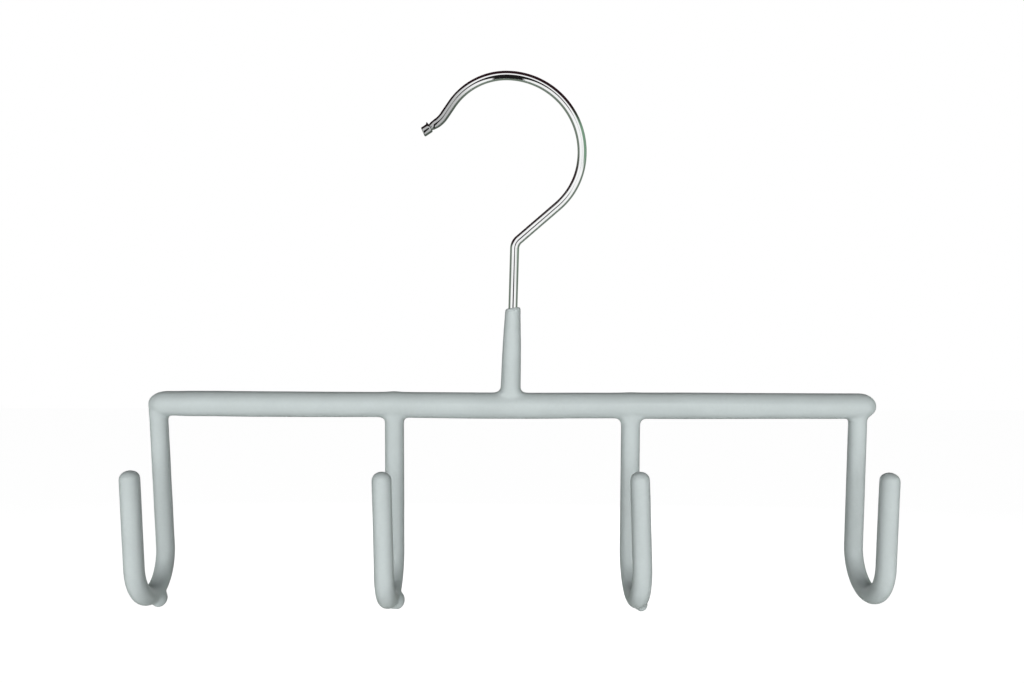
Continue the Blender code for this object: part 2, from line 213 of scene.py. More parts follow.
# The fillet where a tube leaves the bar: how far it spreads at the neck, and the steps it is drawn in
NECK_FOOT_FLARE = 1.7 * MM
FLARE_STEPS = 6

# The neck is drawn past its top and cut there at a slant, and points this near the cut are its rim
NECK_TOP = 36.9 * MM
NECK_SPARE = 2.0 * MM
NECK_RIM_TILT = math.radians(10.0)
NECK_RIM_GAP = 0.01 * MM
NECK_RIM_BEVEL = 0.8 * MM
NECK_RIM_RINGS = 5

# Each smoothing of the skin takes this much off a round part, divided by its radius
SKIN_SMOOTHINGS = 8
SMOOTHING_LOSS = 0.029 * MM * MM

# The bar is drawn this much thinner, so that the skin stays inside the frame's box
SKIN_MARGIN = 0.02 * MM

# More smoothings near the places where a belt hook leaves the bar
ROOT_REACH = 3.4 * MM
ROOT_SMOOTHINGS = 8

# The rod hook from its foot to its tail: a straight length, or a bend's radius and its angle in degrees
ROD_HOOK_MOVES = (
    (55.8 * MM,),
    (4.4 * MM, 47.7),
    (19.4 * MM,),
    (25.6 * MM, -39.4),
    (28.2 * MM, -100.0),
    (24.7 * MM, -55.5),
    (5.0 * MM,),
    (10.3 * MM, 22.3),
)
ROD_HOOK_FOOT = 3.3 * MM

# The wire's tail and the knob's groove: the length of each step, and how much thinner than the wire
# it ends
TAIL_RINGS = (
    (1.1 * MM, 0.12 * MM),
    (1.1 * MM, 0.28 * MM),
    (0.12 * MM, 0.45 * MM),
    (0.35 * MM, 0.45 * MM),
)

# The knob's near edge: the length of each step, and how much thinner than the knob it ends
KNOB_EDGE_RINGS = (
    (0.1 * MM, 0.3 * MM),
    (0.12 * MM, 0.1 * MM),
    (0.15 * MM, 0.0),
)
KNOB_EDGE_LENGTH = sum(length for length, _ in KNOB_EDGE_RINGS)
KNOB_FIRST_LENGTH = 0.45 * MM

# The knob's end face is aslant, with a round edge
KNOB_END_TILT = math.radians(9.0)
KNOB_ROUNDING = 0.4 * MM
KNOB_END_RINGS = 5

# The burr: its place on the knob's near edge in knob radii, its reach, and how far it is pulled out
BURR_PLACE = Vector((-0.5, 0.0, 0.86))
BURR_REACH = 0.42 * MM
BURR_PULL = Vector((-0.28 * MM, 0.0, 0.48 * MM))

# The plating is darker and rougher from the first of these places along X to the second, towards the
# knob
KNOB_DULLING_STRETCH = (-14.0 * MM, -25.0 * MM)

SENSOR_WIDTH = 36.0
CAMERA_PLACE = Vector((-5.84 * MM, -312.54 * MM, -81.98 * MM))
CAMERA_YAW = math.radians(0.87)
CAMERA_PITCH = math.radians(2.72)
CAMERA_ROLL = math.radians(-0.24)
HANGER_MIDDLE = Vector((0.0, -10.0 * MM, -110.0 * MM))


class Lamp(NamedTuple):
    """A soft lamp: its name, its place, its width and height, and the setting that holds its power."""

    name: str
    place: tuple[float, float, float]
    size: tuple[float, float]
    power: str


LAMPS = (
    Lamp("left_lamp", (-1.9, -3.4, 0.8), (2.2, 1.2), "left_power"),
    Lamp("right_lamp", (1.5, -3.4, 0.8), (2.2, 1.2), "right_power"),
    Lamp("middle_lamp", (-0.1, -2.7, 0.15), (1.7, 1.4), "middle_power"),
    Lamp("back_lamp", (0.1, 3.0, -0.05), (1.3, 0.9), "back_power"),
)

# The floor glows just under white, and a thin veil on it takes the shadow
FLOOR_SIZE = 12.0
FLOOR_GLOW = 0.98
FLOOR_VEIL = 0.2

# Headings of the world's light are drawn out to this length
HEADING_LENGTH = 10.0

# The light from behind and above: its heading's share of Y and of Z, and where its edge begins and ends
BACK_LIGHT_SHARES = (0.85, 0.53)
BACK_LIGHT_EDGE = (8.5, 9.7)

# Colours of the studio that bright metal mirrors
BLACK = (0.0, 0.0, 0.0, 1.0)
WHITE = (1.0, 1.0, 1.0, 1.0)
CEILING_SHADE = (0.022, 0.009, 0.012, 1.0)
SIDE_SHADE = (0.17, 0.21, 0.17, 1.0)
CAMERA_SHADE = (0.012, 0.012, 0.012, 1.0)
CARD_SHADE = (0.6, 0.6, 0.6, 1.0)
GREEN_SHADE = (0.2, 0.33, 0.23, 1.0)

# Where each part of that studio begins and where it is whole. A rise is a height per metre of level
# distance, the camera's edge is a distance sideways per metre ahead, and the others are the share of a
# level heading that points ahead, back or to the right.
CAMERA_EDGE = (0.31, 0.24)
UPPER_LEFT_RISE = (0.15, 0.6)
SIDE_AHEAD = (0.46, 0.22)
SIDE_DARK_RISE = (0.1, 0.5)
CARD_RISE = (0.26, 0.14)
CARD_BACK = (0.9, 0.97)
CEILING_RISE = (0.72, 0.94)
WALL_LOW_RISE = (-0.03, 0.15)
WALL_HIGH_RISE = (0.78, 0.46)
WALL_RIGHT = (0.56, 0.74)


class CoatingSettings(bpy.types.PropertyGroup):
    """Sizes and finish of the dipped coating."""

    stem_radius: FloatProperty(
        name="Stem radius",
        description="Radius of a belt hook's coated stem",
        default=3.58 * MM,
        min=2.5 * MM,
        max=6.0 * MM,
        precision=5,
        subtype="DISTANCE",
        unit="LENGTH",
    )
    arm_radius: FloatProperty(
        name="Arm radius",
        description="Radius of a belt hook's coated arm",
        default=3.4 * MM,
        min=2.5 * MM,
        max=6.0 * MM,
        precision=5,
        subtype="DISTANCE",
        unit="LENGTH",
    )
    bend_radius: FloatProperty(
        name="Belt hook bend",
        description="Radius of the bend under a belt hook, along the wire's middle",
        default=13.7 * MM,
        min=8.0 * MM,
        max=25.0 * MM,
        precision=5,
        subtype="DISTANCE",
        unit="LENGTH",
    )
    hook_drop: FloatProperty(
        name="Belt hook drop",
        description="Depth of a belt hook's bend below the crossbar, from axis to axis",
        default=67.8 * MM,
        min=40.0 * MM,
        max=120.0 * MM,
        precision=5,
        subtype="DISTANCE",
        unit="LENGTH",
    )
    tip_drop: FloatProperty(
        name="Arm tip drop",
        description="How far an arm's tip ends below the crossbar's axis",
        default=19.8 * MM,
        min=8.0 * MM,
        max=40.0 * MM,
        precision=5,
        subtype="DISTANCE",
        unit="LENGTH",
    )
    tip_rounding: FloatProperty(
        name="Arm tip rounding",
        description="Length over which an arm's tip rounds off",
        default=2.8 * MM,
        min=1.0 * MM,
        max=6.0 * MM,
        precision=5,
        subtype="DISTANCE",
        unit="LENGTH",
    )
    left_rounding: FloatProperty(
        name="Left end rounding",
        description="Length over which the crossbar's left end rounds off",
        default=6.8 * MM,
        min=2.0 * MM,
        max=12.0 * MM,
        precision=5,
        subtype="DISTANCE",
        unit="LENGTH",
    )
    right_rounding: FloatProperty(
        name="Right end rounding",
        description="Length over which the crossbar's right end rounds off",
        default=6.2 * MM,
        min=2.0 * MM,
        max=12.0 * MM,
        precision=5,
        subtype="DISTANCE",
        unit="LENGTH",
    )
    skin_grid: FloatProperty(
        name="Skin grid",
        description="Size of the grid that melts the coating's parts into one skin",
        default=0.6 * MM,
        min=0.5 * MM,
        max=2.0 * MM,
        precision=5,
        subtype="DISTANCE",
        unit="LENGTH",
    )
    colour: FloatVectorProperty(
        name="Colour",
        description="Colour of the coating",
        default=(0.577, 0.64, 0.636),
        min=0.0,
        max=1.0,
        size=3,
        subtype="COLOR",
    )
    roughness: FloatProperty(
        name="Roughness",
        description="How matt the coating is",
        default=0.35,
        min=0.1,
        max=1.0,
        subtype="FACTOR",
    )


class RodHookSettings(bpy.types.PropertyGroup):
    """Sizes and finish of the plated rod hook."""

    wire_diameter: FloatProperty(
        name="Wire diameter",
        description="Diameter of the rod hook's wire",
        default=3.42 * MM,
        min=2.0 * MM,
        max=6.0 * MM,
        precision=5,
        subtype="DISTANCE",
        unit="LENGTH",
    )
    knob_diameter: FloatProperty(
        name="Knob diameter",
        description="Diameter of the formed knob at the wire's free end",
        default=3.65 * MM,
        min=3.0 * MM,
        max=8.0 * MM,
        precision=5,
        subtype="DISTANCE",
        unit="LENGTH",
    )
    knob_length: FloatProperty(
        name="Knob length",
        description="Length of the knob from its groove to its end face",
        default=3.42 * MM,
        min=2.0 * MM,
        max=10.0 * MM,
        precision=5,
        subtype="DISTANCE",
        unit="LENGTH",
    )
    side_count: IntProperty(
        name="Sides",
        description="Number of sides round the wire",
        default=56,
        min=16,
        max=96,
    )
    colour: FloatVectorProperty(
        name="Colour",
        description="Colour of the plating",
        default=(0.92, 0.93, 0.93),
        min=0.0,
        max=1.0,
        size=3,
        subtype="COLOR",
    )
    roughness: FloatProperty(
        name="Roughness",
        description="How dull the plating is",
        default=0.03,
        min=0.0,
        max=0.5,
        subtype="FACTOR",
    )


class SteelSettings(bpy.types.PropertyGroup):
    """Colours of the bare steel inside the coating."""

    steel_colour: FloatVectorProperty(
        name="Steel colour",
        description="Colour of the drawn rod and wires",
        default=(0.42, 0.43, 0.44),
        min=0.0,
        max=1.0,
        size=3,
        subtype="COLOR",
    )
    weld_colour: FloatVectorProperty(
        name="Weld colour",
        description="Colour of the weld beads",
        default=(0.26, 0.25, 0.25),
        min=0.0,
        max=1.0,
        size=3,
        subtype="COLOR",
    )


class StudioSettings(bpy.types.PropertyGroup):
    """Light, floor and lens of the studio."""

    left_power: FloatProperty(
        name="Left lamp",
        description="Power of the large soft lamp in front on the left",
        default=43.9,
        min=0.0,
        max=200.0,
        unit="POWER",
    )
    right_power: FloatProperty(
        name="Right lamp",
        description="Power of the large soft lamp in front on the right",
        default=41.2,
        min=0.0,
        max=200.0,
        unit="POWER",
    )
    middle_power: FloatProperty(
        name="Middle lamp",
        description="Power of the soft lamp behind the camera",
        default=24.5,
        min=0.0,
        max=200.0,
        unit="POWER",
    )
    back_power: FloatProperty(
        name="Back lamp",
        description="Power of the soft lamp behind the hanger",
        default=36.0,
        min=0.0,
        max=200.0,
        unit="POWER",
    )
    ambient: FloatProperty(
        name="Ambient",
        description="Strength of the light from all round",
        default=0.02,
        min=0.0,
        max=1.0,
    )
    back_light: FloatProperty(
        name="Back light",
        description="Strength of the light from behind and above",
        default=0.1,
        min=0.0,
        max=1.0,
    )
    floor_height: FloatProperty(
        name="Floor height",
        description="Height of the floor, below the point that the hanger hangs from",
        default=-0.9,
        min=-3.0,
        max=-0.2,
        subtype="DISTANCE",
        unit="LENGTH",
    )
    floor_colour: FloatVectorProperty(
        name="Floor colour",
        description="Colour of the floor",
        default=(0.86, 0.86, 0.86),
        min=0.0,
        max=1.0,
        size=3,
        subtype="COLOR",
    )
    lens: FloatProperty(
        name="Lens",
        description="Focal length of the camera, in millimetres on a 36 mm sensor",
        default=29.18,
        min=10.0,
        max=200.0,
        unit="CAMERA",
    )


def select_only(*objects):
    """Select these objects and nothing else, with the first one active."""
    bpy.ops.object.select_all(action="DESELECT")
    for obj in objects:
        obj.select_set(True)
    bpy.context.view_layer.objects.active = objects[0]


def select_where(test):
    """Select the edited mesh's vertices whose place passes a test, and nothing else."""
    bpy.ops.mesh.select_mode(type="VERT")
    bpy.ops.mesh.select_all(action="DESELECT")
    mesh = bpy.context.object.data
    shape = bmesh.from_edit_mesh(mesh)
    for vertex in shape.verts:
        vertex.select_set(test(vertex.co))
    shape.select_flush_mode()
    bmesh.update_edit_mesh(mesh)


def keep_place_in_mesh(obj):
    """Put an object's place, turn and scale into its mesh."""
    select_only(obj)
    bpy.ops.object.transform_apply(location=True, rotation=True, scale=True)


def apply_modifier(obj, kind, **values):
    """Add a modifier with these values and apply it."""
    select_only(obj)
    modifier = obj.modifiers.new(kind.lower(), kind)
    for name, value in values.items():
        setattr(modifier, name, value)
    bpy.ops.object.modifier_apply(modifier=modifier.name)


def join(name, objects):
    """Join objects into the first one."""
    select_only(*objects)
    bpy.ops.object.join()
    objects[0].name = name
    objects[0].data.name = name
    return objects[0]


def before_smoothing(radius):
    """The radius to draw a round part with, so that the smoothed skin has this radius."""
    return radius + SKIN_SMOOTHINGS * SMOOTHING_LOSS / radius


def leaned(seat, lean, along, up):
    """A point in the plane of a leaning hook, at distances along X and up from its seat."""
    return seat + Matrix.Rotation(lean, 3, "Y") @ Vector((along, 0.0, up))


class TubePen:
    """Draws a round tube ring by ring in edit mode, like wire fed through a bender."""

    def __init__(self, name, place, heading, radius, side_count):
        bpy.ops.object.select_all(action="DESELECT")
        self.start = Vector(place)
        self.start_heading = Vector(heading).normalized()
        self.start_radius = radius
        bpy.ops.mesh.primitive_circle_add(
            vertices=side_count,
            radius=radius,
            fill_type="NOTHING",
            location=self.start,
            rotation=UP.rotation_difference(self.start_heading).to_euler(),
        )
        self.tube = bpy.context.object
        self.tube.name = name
        self.tube.data.name = name
        keep_place_in_mesh(self.tube)
        bpy.ops.object.mode_set(mode="EDIT")
        bpy.ops.mesh.select_all(action="SELECT")
        self.place = self.start.copy()
        self.heading = self.start_heading.copy()
        self.radius = radius

    def run(self, length, count=1):
        """Extrude the last ring straight on."""
        step = self.heading * (length / count)
        for _ in range(count):
            bpy.ops.mesh.extrude_region_move(TRANSFORM_OT_translate={"value": step})
            self.place += step

    def reach(self, place):
        """Extrude the last ring to a place without turning it."""
        step = Vector(place) - self.place
        bpy.ops.mesh.extrude_region_move(TRANSFORM_OT_translate={"value": step})
        self.place += step

    def bend(self, radius, angle, axis, step):
        """Spin the last ring round a bend; the angle is in degrees, right-handed about the axis."""
        turn = math.radians(angle)
        axis = Vector(axis)
        centre = self.place + math.copysign(radius, turn) * axis.cross(self.heading)
        count = max(2, math.ceil(abs(angle) / step))
        bpy.ops.mesh.spin(steps=count, angle=-turn, center=centre, axis=axis)
        rotation = Matrix.Rotation(turn, 3, axis)
        self.place = centre + rotation @ (self.place - centre)
        self.heading = rotation @ self.heading

    def swell(self, radius):
        """Change the last ring's radius."""
        ratio = radius / self.radius
        bpy.ops.transform.resize(value=(ratio,) * 3, center_override=self.place)
        self.radius = radius

    def tilt(self, turn):
        """Turn the last ring about the Y axis, so that the tube goes on at a slant."""
        bpy.ops.transform.rotate(value=-turn, orient_axis="Y", center_override=self.place)
        self.heading = Matrix.Rotation(turn, 3, "Y") @ self.heading

    def stretch(self, scale):
        """Scale the last ring along X, Y and Z."""
        bpy.ops.transform.resize(value=scale, center_override=self.place)

    def round_off(self, length, count):
        """End the tube in half an oval, with a small flat face at its pole."""
        full = self.radius
        reached = 0.0
        for index in range(count):
            angle = POLE_ANGLE * (index + 1) / count
            reach = length * math.sin(angle)
            self.run(reach - reached)
            self.swell(full * math.cos(angle))
            reached = reach
        self.cap()

    def cap(self):
        """Close the last ring with a face."""
        bpy.ops.mesh.edge_face_add()

    def turn_back(self):
        """Go on from the first ring, in the other direction."""
        limit = self.start_radius * 1.01
        normal = self.start_heading
        start = self.start
        select_where(lambda p: (p - start).length < limit and abs((p - start).dot(normal)) < MERGE_GAP)
        self.place = start.copy()
        self.heading = -normal
        self.radius = self.start_radius

    def done(self):
        """Turn the faces outwards and leave edit mode."""
        bpy.ops.mesh.select_all(action="SELECT")
        bpy.ops.mesh.remove_doubles(threshold=MERGE_GAP)
        bpy.ops.mesh.normals_make_consistent(inside=False)
        bpy.ops.object.mode_set(mode="OBJECT")
        return self.tube


class Value:
    """A shader socket that can be used in sums."""

    def __init__(self, board, socket):
        self.board = board
        self.socket = socket

    def __add__(self, other):
        return self.board.maths("ADD", self, other)

    def __radd__(self, other):
        return self.board.maths("ADD", other, self)

    def __sub__(self, other):
        return self.board.maths("SUBTRACT", self, other)

    def __rsub__(self, other):
        return self.board.maths("SUBTRACT", other, self)

    def __mul__(self, other):
        return self.board.maths("MULTIPLY", self, other)

    def __rmul__(self, other):
        return self.board.maths("MULTIPLY", other, self)

    def __truediv__(self, other):
        return self.board.maths("DIVIDE", self, other)

    def __rtruediv__(self, other):
        return self.board.maths("DIVIDE", other, self)


class NodeBoard:
    """The node tree of one material or world."""

    def __init__(self, tree):
        self.tree = tree

    def node(self, kind, settings, sockets, output=0):
        """Add a node with its settings and socket values, and give one of its outputs."""
        node = self.tree.nodes.new(kind)
        for name, value in settings.items():
            setattr(node, name, value)
        for name, value in sockets.items():
            self.feed(node.inputs[name], value)
        return Value(self, node.outputs[output])

    def feed(self, socket, value):
        """Link a value to a socket, or set the socket to a number or colour."""
        if isinstance(value, Value):
            self.tree.links.new(value.socket, socket)
        else:
            socket.default_value = value

    def maths(self, operation, first, second):
        """Add a Math node for two values."""
        return self.node("ShaderNodeMath", {"operation": operation}, {0: first, 1: second})

    def noise(self, vector, scale, detail=2.0, roughness=0.5):
        """Soft noise from 0 to 1, with its scale in waves per metre."""
        sockets = {"Vector": vector, "Scale": scale, "Detail": detail, "Roughness": roughness}
        return self.node("ShaderNodeTexNoise", {}, sockets)

    def ramp(self, value, begin, end):
        """A smooth rise from 0, where the value is at begin, to 1, where it is at end."""
        sockets = {"Value": value, "From Min": begin, "From Max": end}
        return self.node("ShaderNodeMapRange", {"interpolation_type": "SMOOTHSTEP"}, sockets)

    def mix_colour(self, share, first, second):
        """Mix two colours; the Mix node has its colours in sockets 6 and 7 and their mix in output 2."""
        sockets = {0: share, 6: first, 7: second}
        return self.node("ShaderNodeMix", {"data_type": "RGBA"}, sockets, output=2)

    def object_place(self):
        """Place on the object, in metres."""
        return self.node("ShaderNodeTexCoord", {}, {}, "Object")

    def scaled(self, vector, scale):
        """A vector scaled along each axis."""
        return self.node("ShaderNodeVectorMath", {"operation": "MULTIPLY"}, {0: vector, 1: scale})

    def split(self, vector):
        """The X, Y and Z of a vector."""
        return [self.node("ShaderNodeSeparateXYZ", {}, {0: vector}, axis) for axis in "XYZ"]


def new_material(name):
    """An empty node material, its board and its surface shader."""
    material = bpy.data.materials.new(name)
    material.use_nodes = True
    board = NodeBoard(material.node_tree)
    return material, board, material.node_tree.nodes["Principled BSDF"]


def shade(colour, factor):
    """A colour made lighter or darker, with its alpha."""
    return (*[min(1.0, channel * factor) for channel in colour], 1.0)


def coating_material(settings):
    """Soft matt dip coating: faint clouding, fine grain, a few specks of dust."""
    material, board, shader = new_material("grey_dip_coating")
    place = board.object_place()
    clouds = board.noise(place, scale=55.0, detail=3.0)
    grain = board.noise(place, scale=900.0, detail=2.0)
    peel = board.noise(place, scale=420.0, detail=1.0)
    sag = board.noise(place, scale=95.0, detail=1.0)
    cell = {"Vector": place, "Scale": 130.0, "Randomness": 1.0}
    near = board.node("ShaderNodeTexVoronoi", {"feature": "F1"}, cell, "Distance")
    pick = board.node("ShaderNodeTexVoronoi", {"feature": "F1"}, cell, "Color")
    chance = board.node("ShaderNodeSeparateColor", {}, {0: pick})
    speck = board.ramp(near, 0.05, 0.025) * board.ramp(chance, 0.8, 0.82)
    tone = board.ramp(clouds * 0.7 + grain * 0.3, 0.3, 0.7)
    plain = board.mix_colour(tone, shade(settings.colour, 0.965), shade(settings.colour, 1.03))
    colour = board.mix_colour(speck * 0.15, plain, shade(settings.colour, 0.35))
    board.feed(shader.inputs["Base Color"], colour)
    gloss = settings.roughness - 0.04 + clouds * 0.05 + grain * 0.04
    board.feed(shader.inputs["Roughness"], gloss)
    height = peel * 0.5 + sag * 2.2 + grain * 0.18 + speck * 0.4
    bump = board.node("ShaderNodeBump", {}, {"Strength": 0.55, "Distance": 0.07 * MM, "Height": height})
    board.feed(shader.inputs["Normal"], bump)
    return material


def chrome_material(settings):
    """Bright plating with faint draw lines, haze and pin marks, duller towards the knob."""
    material, board, shader = new_material("bright_plating")
    place = board.object_place()
    haze = board.noise(place, scale=120.0, detail=3.0)
    lines = board.noise(board.scaled(place, (1.0, 9.0, 1.0)), scale=700.0, detail=2.0)
    pits = board.noise(place, scale=2300.0, detail=1.0)
    pin = board.ramp(pits, 0.74, 0.8)
    along = board.node("ShaderNodeSeparateXYZ", {}, {0: place}, "X")
    # Darker, rougher plating along X towards the knob
    knob_dulling = board.ramp(along, *KNOB_DULLING_STRETCH)
    light = shade(settings.colour, 1.02)
    plated = board.mix_colour(board.ramp(haze, 0.35, 0.75), light, shade(settings.colour, 0.95))
    colour = board.mix_colour(knob_dulling, plated, shade(settings.colour, 0.5))
    marked = board.mix_colour(pin * 0.4, colour, shade(settings.colour, 0.4))
    board.feed(shader.inputs["Base Color"], marked)
    gloss = settings.roughness + haze * 0.02 + lines * 0.015 + pin * 0.2 + knob_dulling * 0.05
    board.feed(shader.inputs["Roughness"], gloss)
    shader.inputs["Metallic"].default_value = 1.0
    height = haze * 1.5 + lines * 0.12 - pin * 0.15
    bump = board.node("ShaderNodeBump", {}, {"Strength": 0.25, "Distance": 0.03 * MM, "Height": height})
    board.feed(shader.inputs["Normal"], bump)
    return material


def steel_material(name, colour, grain_scale):
    """Drawn steel: long fine lines, dull patches and a trace of mill scale."""
    material, board, shader = new_material(name)
    place = board.object_place()
    lines = board.noise(board.scaled(place, grain_scale), scale=1500.0, detail=3.0, roughness=0.6)
    patches = board.noise(place, scale=240.0, detail=3.0)
    scale = board.ramp(patches, 0.55, 0.7)
    tone = board.mix_colour(lines, shade(colour, 0.8), shade(colour, 1.2))
    board.feed(shader.inputs["Base Color"], board.mix_colour(scale * 0.5, tone, shade(colour, 0.45)))
    board.feed(shader.inputs["Roughness"], 0.25 + lines * 0.15 + scale * 0.2)
    shader.inputs["Metallic"].default_value = 1.0
    height = lines + scale * 0.5
    bump = board.node("ShaderNodeBump", {}, {"Strength": 0.4, "Distance": 0.02 * MM, "Height": height})
    board.feed(shader.inputs["Normal"], bump)
    return material


def weld_material(colour):
    """Weld bead: ripples round the wire, heat tint and soot."""
    material, board, shader = new_material("weld_bead")
    place = board.object_place()
    warp = board.noise(place, scale=500.0, detail=2.0)
    sockets = {"Vector": place, "Scale": 420.0, "Distortion": 3.0, "Detail": 2.0}
    ripple = board.node("ShaderNodeTexWave", {"bands_direction": "Z"}, sockets, output=1)
    tint = board.mix_colour(ripple, shade(colour, 0.7), shade(colour, 1.35))
    straw = (0.34, 0.24, 0.14, 1.0)
    tinted = board.mix_colour(board.ramp(warp, 0.5, 0.75) * 0.5, tint, straw)
    board.feed(shader.inputs["Base Color"], tinted)
    board.feed(shader.inputs["Roughness"], 0.42 + warp * 0.2)
    shader.inputs["Metallic"].default_value = 1.0
    height = ripple + warp * 0.6
    bump = board.node("ShaderNodeBump", {}, {"Strength": 0.6, "Distance": 0.08 * MM, "Height": height})
    board.feed(shader.inputs["Normal"], bump)
    return material


def dress(obj, material):
    """Give a piece one material."""
    obj.data.materials.clear()
    obj.data.materials.append(material)


def draw_bar(settings):
    """The crossbar's coating, a little bowed and uneven, with an oval rounding at each end."""
    _, height, rise = BAR_RINGS[0]
    _, last_height, last_rise = BAR_RINGS[-1]
    left_end = (BAR_LOW.x + settings.left_rounding, 0.0, BAR_AXIS_HEIGHT + rise)
    right_end = (BAR_HIGH.x - settings.right_rounding, last_height, last_rise)
    pen = TubePen("bar_skin", left_end, RIGHT, before_smoothing(BAR_RADIUS - SKIN_MARGIN), BAR_SIDES)
    pen.stretch((1.0, 1.0, height / BAR_RADIUS))
    for place, half_height, rise in (*BAR_RINGS, right_end):
        pen.reach((place, 0.0, BAR_AXIS_HEIGHT + rise))
        pen.stretch((1.0, 1.0, half_height / height))
        height = half_height
    pen.round_off(settings.right_rounding, END_RINGS)
    pen.turn_back()
    pen.round_off(settings.left_rounding, END_RINGS)
    return pen.done()


def draw_flared_root(pen, radius, flare):
    """A tube's root on the bar's axis, with a fillet along the bar where it leaves the bar's skin."""
    pen.cap()
    pen.stretch((1.0 + flare / radius, 1.0, 1.0))
    pen.run(BAR_RADIUS)
    for index in range(FLARE_STEPS):
        before = math.radians(90.0) * index / FLARE_STEPS
        after = math.radians(90.0) * (index + 1) / FLARE_STEPS
        pen.run(flare * (math.cos(before) - math.cos(after)))
        wide = radius + flare * (1.0 - math.sin(before))
        narrow = radius + flare * (1.0 - math.sin(after))
        pen.stretch((narrow / wide, 1.0, 1.0))


def draw_belt_hook(settings, fit):
    """A belt hook's coating: root, stem, bend, arm and round tip."""
    lean = -math.radians(fit.lean)
    seat = Vector((fit.place, 0.0, BAR_AXIS_HEIGHT))
    heading = leaned(Vector(), lean, 0.0, -1.0)
    turn = Matrix.Rotation(-math.radians(fit.bend_turn), 3, heading)
    axis = turn @ -leaned(Vector(), lean, 1.0, 0.0)
    stem_radius = before_smoothing(settings.stem_radius - fit.thinning)
    arm_radius = before_smoothing(settings.arm_radius)
    straight = settings.hook_drop + fit.drop - settings.bend_radius
    pen = TubePen("hook_skin", seat, heading, stem_radius, HOOK_SIDES)
    draw_flared_root(pen, stem_radius, fit.root_flare)
    pen.run(straight - BAR_RADIUS - fit.root_flare)
    for index in range(BEND_PARTS):
        pen.bend(settings.bend_radius, 180.0 / BEND_PARTS, axis, HOOK_BEND_STEP)
        share = (index + 1) / BEND_PARTS
        pen.swell(stem_radius + (arm_radius - stem_radius) * share)
    pen.bend(ARM_SET_RADIUS, -fit.arm_lean, BACK, ARM_SET_STEP)
    arm_set_length = ARM_SET_RADIUS * math.radians(abs(fit.arm_lean))
    pen.run(straight - settings.tip_drop - fit.tip_drop - settings.tip_rounding - arm_set_length)
    pen.round_off(settings.tip_rounding, TIP_RINGS)
    return pen.done()


def draw_drip(settings, fit, bead):
    """A bead of coating that set under a belt hook's bend."""
    lean = -math.radians(fit.lean)
    seat = Vector((fit.place, bead.back - settings.bend_radius, BAR_AXIS_HEIGHT))
    depth = settings.hook_drop + fit.drop + bead.down
    bpy.ops.object.select_all(action="DESELECT")
    bpy.ops.mesh.primitive_uv_sphere_add(
        segments=24,
        ring_count=16,
        radius=1.0,
        location=leaned(seat, lean, bead.right, -depth),
        scale=bead.half_sizes,
    )
    drip = bpy.context.object
    keep_place_in_mesh(drip)
    return drip


def draw_neck():
    """The neck's coating: a flared foot, a slow taper and a slanted round rim."""
    heading = leaned(Vector(), NECK_LEAN, 0.0, 1.0)
    foot_height, foot_radius = NECK_RINGS[0]
    foot_radius = before_smoothing(foot_radius)
    pen = TubePen("neck_skin", NECK_SEAT, heading, foot_radius, NECK_SIDES)
    draw_flared_root(pen, foot_radius, NECK_FOOT_FLARE)
    reached = foot_height
    for height, radius in NECK_RINGS[1:]:
        pen.run(height - reached)
        pen.swell(before_smoothing(radius))
        reached = height
    pen.run(NECK_TOP + NECK_SPARE - reached)
    pen.cap()
    top = leaned(NECK_SEAT, NECK_LEAN, 0.0, NECK_TOP)
    slant = Matrix.Rotation(-NECK_RIM_TILT, 3, "Y") @ heading
    bpy.ops.mesh.select_all(action="SELECT")
    bpy.ops.mesh.bisect(plane_co=top, plane_no=slant, use_fill=True, clear_outer=True)
    select_where(lambda p: abs((p - top).dot(slant)) < NECK_RIM_GAP)
    bpy.ops.mesh.bevel(offset=NECK_RIM_BEVEL, segments=NECK_RIM_RINGS, affect="EDGES")
    return pen.done()


def smooth_roots(skin, settings):
    """Soften the skin where the belt hooks leave the crossbar."""
    group = skin.vertex_groups.new(name="roots")
    for fit in HOOK_FITS:
        beside = settings.stem_radius + fit.root_flare / 2
        for x in (fit.place - beside, fit.place + beside):
            root = Vector((x, 0.0, BAR_AXIS_HEIGHT - BAR_RADIUS))
            for vertex in skin.data.vertices:
                gap = (vertex.co - root).length
                if gap < ROOT_REACH:
                    share = min(1.0, 2.0 * (1.0 - gap / ROOT_REACH))
                    group.add([vertex.index], share, "REPLACE")
    apply_modifier(skin, "SMOOTH", factor=0.5, iterations=ROOT_SMOOTHINGS, vertex_group="roots")
    skin.vertex_groups.clear()


def draw_knob(pen, settings):
    """The wire's thin tail, its groove, and the knob with a burr and a slanted end face."""
    wire = settings.wire_diameter / 2
    knob = settings.knob_diameter / 2
    for length, thinner in TAIL_RINGS:
        pen.run(length)
        pen.swell(wire - thinner)
    for length, thinner in KNOB_EDGE_RINGS:
        pen.run(length)
        pen.swell(knob - thinner)
    burr = pen.place + BURR_PLACE * knob
    pen.run(KNOB_FIRST_LENGTH)
    pen.run(settings.knob_length - KNOB_EDGE_LENGTH - KNOB_FIRST_LENGTH - KNOB_ROUNDING)
    pen.tilt(KNOB_END_TILT)
    for index in range(KNOB_END_RINGS):
        before = math.radians(90.0) * index / KNOB_END_RINGS
        after = math.radians(90.0) * (index + 1) / KNOB_END_RINGS
        pen.run(KNOB_ROUNDING * (math.sin(after) - math.sin(before)))
        pen.swell(knob - KNOB_ROUNDING * (1.0 - math.cos(after)))
    pen.cap()
    select_where(lambda p: (p - burr).length < BURR_REACH)
    bpy.ops.transform.translate(value=BURR_PULL)


